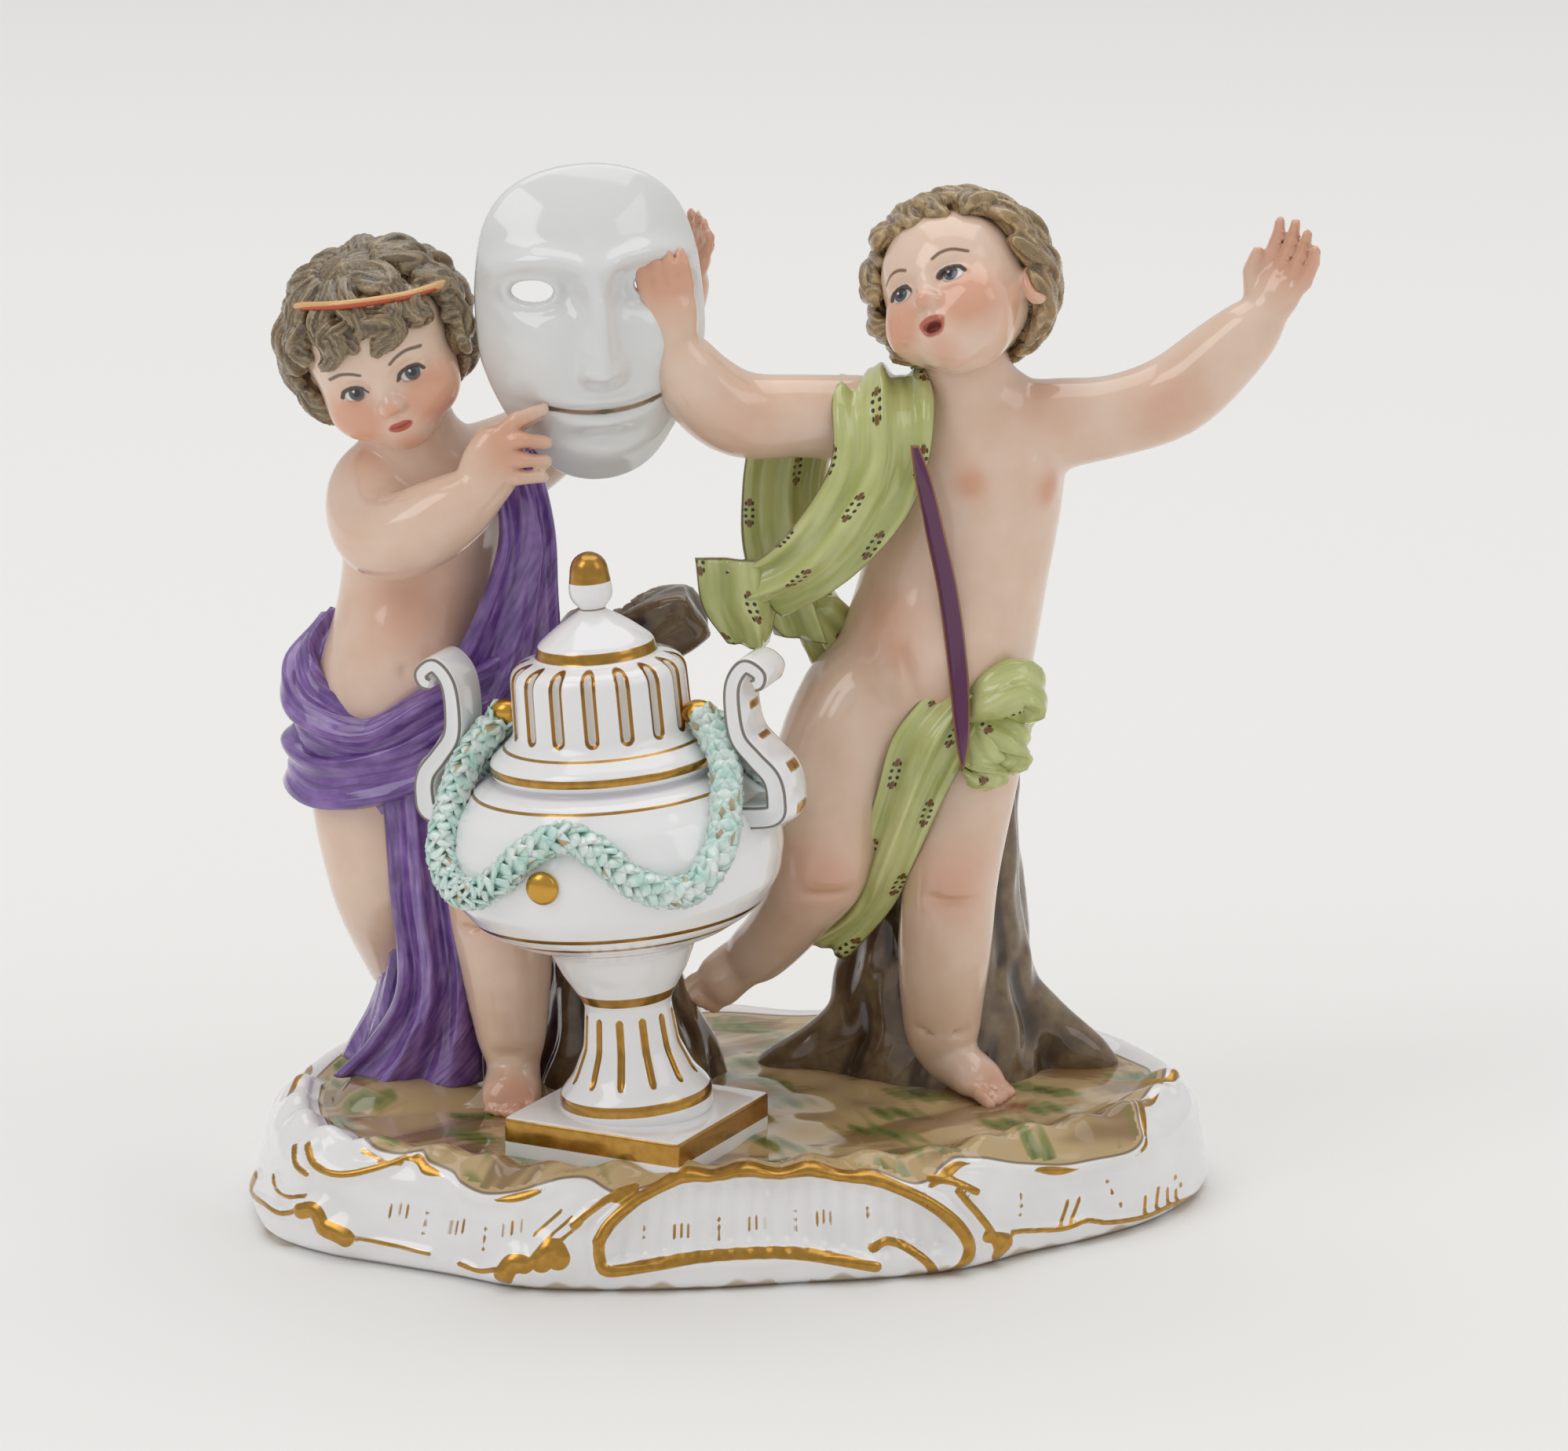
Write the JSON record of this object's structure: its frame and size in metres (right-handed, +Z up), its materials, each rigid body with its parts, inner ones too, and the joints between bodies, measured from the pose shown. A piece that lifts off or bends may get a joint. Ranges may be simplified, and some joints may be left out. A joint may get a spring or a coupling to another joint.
{
  "type": "porcelain figure group",
  "caption": "Glazed porcelain figure group: two putti hold up a theatre mask beside a garlanded lidded urn, on a scrolled rococo mound.",
  "frame": {"origin": "centre of the mound's flat underside, between the middle of its left and right ends", "axes": "+Z up, +X to the viewer's right along the mound's length, -Y towards the viewer who faces the group"},
  "size_m": [0.1475, 0.0928, 0.1468],
  "materials": {
    "glazed_porcelain": "gloss glaze over enamel painting and burnished gilding"
  },
  "bodies": {
    "root": {"porcelain_group": "glazed_porcelain"}
  },
  "joints": []
}
